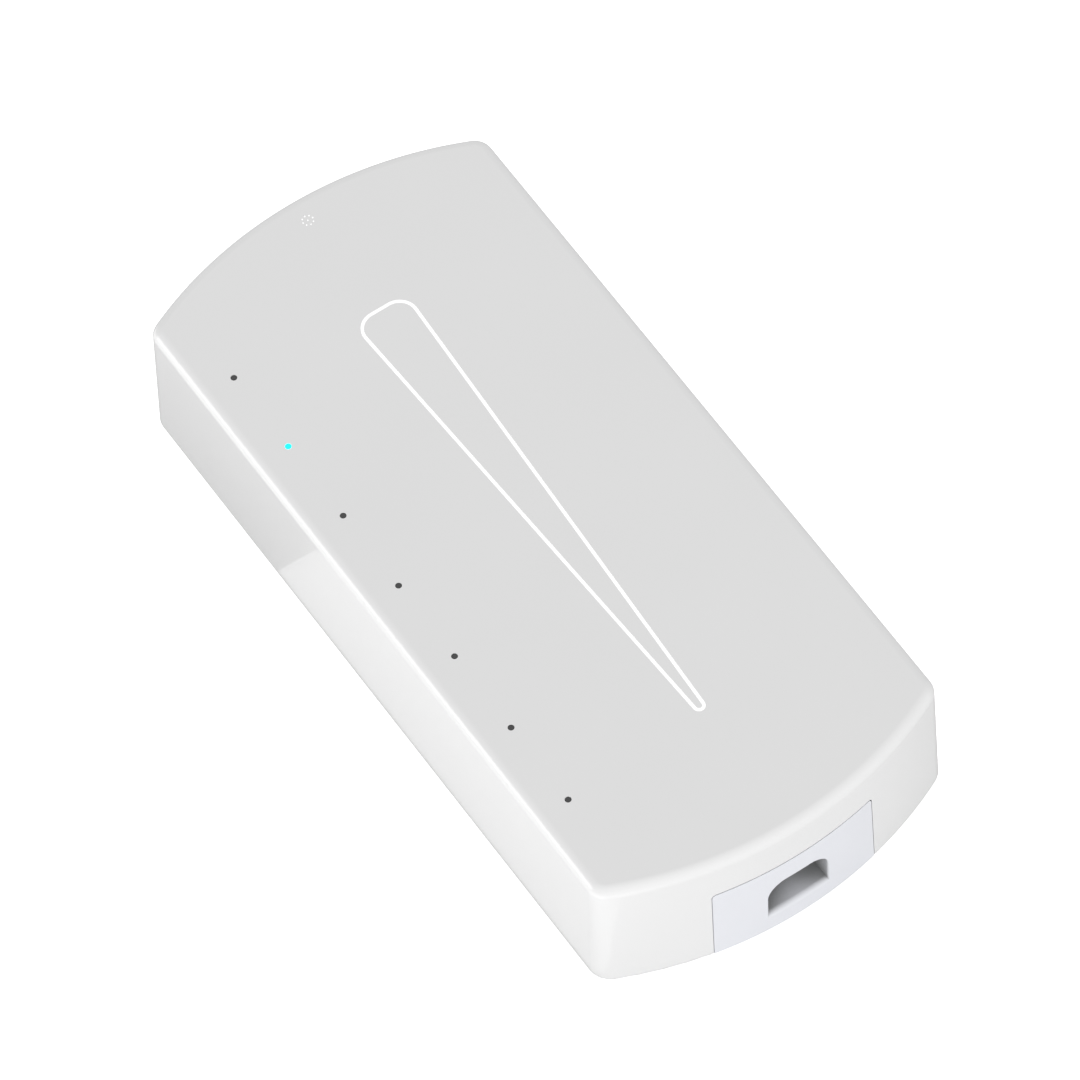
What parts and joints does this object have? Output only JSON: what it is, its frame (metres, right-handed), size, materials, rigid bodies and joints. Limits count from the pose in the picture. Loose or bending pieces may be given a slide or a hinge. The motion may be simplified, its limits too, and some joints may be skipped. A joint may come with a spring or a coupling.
{
  "type": "wall battery unit",
  "caption": "Wall battery unit: flat white drafted housing with arc ends, a column of charge lights, a tapered light loop and a pull-off service cover over its wiring bay.",
  "frame": {"origin": "middle of the footprint, on the plane of the wall that the bracket and the tray's lip meet", "axes": "+Z out of the front face, away from the wall; +Y towards the unit's upper end as it hangs, away from the service cover; +X to the right as seen from in front. At rest the unit lies on its back, as the picture shows it"},
  "size_m": [0.5, 1.088, 0.2],
  "materials": {
    "shell_white": "fine satin powder coat",
    "cover_white": "fine satin, slightly cooler than the shell",
    "light_guide": "white diffusing polymer, lit",
    "lens_dark": "smoked lens, unlit",
    "lens_lit": "lens lit cyan",
    "steel": "zinc plated",
    "zinc_steel": "galvanised sheet",
    "rubber": "matt EPDM",
    "dark_plastic": "glass-filled moulding",
    "red_plastic": "moulded",
    "grey_plastic": "moulded",
    "circuit_board": "solder mask",
    "copper": "bare copper",
    "aluminium": "extruded",
    "cable_red": "cable jacket",
    "cable_black": "cable jacket"
  },
  "bodies": {
    "unit": {"back_tray": "zinc_steel", "bay_panel": "steel", "bms_board": "circuit_board", "breaker_body": "grey_plastic", "busbar_cross": "copper", "busbar_left": "copper", "busbar_right": "copper", "button_switch": "dark_plastic", "catch_magnet_left": "steel", "catch_magnet_right": "steel", "cell_module_1": "grey_plastic", "cell_module_2": "grey_plastic", "cell_module_3": "grey_plastic", "cell_module_4": "grey_plastic", "charge_led_board": "circuit_board", "charge_lens_1": "lens_dark", "charge_lens_2": "lens_lit", "charge_lens_3": "lens_dark", "charge_lens_4": "lens_dark", "charge_lens_5": "lens_dark", "charge_lens_6": "lens_dark", "charge_lens_7": "lens_dark", "comms_sockets": "dark_plastic", "contactor": "dark_plastic", "cover_frame": "dark_plastic", "display_board": "circuit_board", "earth_stud": "copper", "entry_grommet": "rubber", "front_shell": "shell_white", "heat_sink": "aluminium", "hook_rail_lower": "steel", "hook_rail_upper": "steel", "inverter_board": "circuit_board", "isolator_body": "dark_plastic", "main_fuse": "grey_plastic", "module_strap_lower": "steel", "module_strap_upper": "steel", "negative_cable": "cable_black", "positive_cable": "cable_red", "shell_gasket": "rubber", "shell_screw_1": "steel", "shell_screw_2": "steel", "shell_screw_3": "steel", "shell_screw_4": "steel", "shell_screw_5": "steel", "shell_screw_6": "steel", "strap_post_1": "steel", "strap_post_2": "steel", "strap_post_3": "steel", "strap_post_4": "steel", "terminal_block": "grey_plastic", "touch_ring_guide": "light_guide", "wedge_light_guide": "light_guide"},
    "cover": {"service_cover": "cover_white", "strike_plate_left": "steel", "strike_plate_right": "steel"},
    "isolator_knob": {"isolator_knob": "red_plastic"},
    "breaker_lever": {"breaker_lever": "dark_plastic"},
    "start_button": {"start_button": "grey_plastic"},
    "wall_bracket": {"wall_bracket": "steel"}
  },
  "joints": [
    {"name": "cover_pull", "type": "slide", "parent": "unit", "child": "cover", "axis": [0, -1, 0], "range_m": [0, 0.09]},
    {"name": "isolator_turn", "type": "hinge", "parent": "unit", "child": "isolator_knob", "pos_m": [-0.074, -0.46, 0.07], "axis": [0, 1, 0], "range_deg": [0, 90]},
    {"name": "breaker_throw", "type": "hinge", "parent": "unit", "child": "breaker_lever", "pos_m": [0.022, -0.446, 0.072], "axis": [1, 0, 0], "range_deg": [0, 64]},
    {"name": "start_press", "type": "slide", "parent": "unit", "child": "start_button", "axis": [0, 1, 0], "range_m": [0, 0.003], "stiffness_N_per_m": 600},
    {"name": "bracket_release", "type": "slide", "parent": "unit", "child": "wall_bracket", "axis": [0, -1, 0], "range_m": [0, 0.02]}
  ]
}
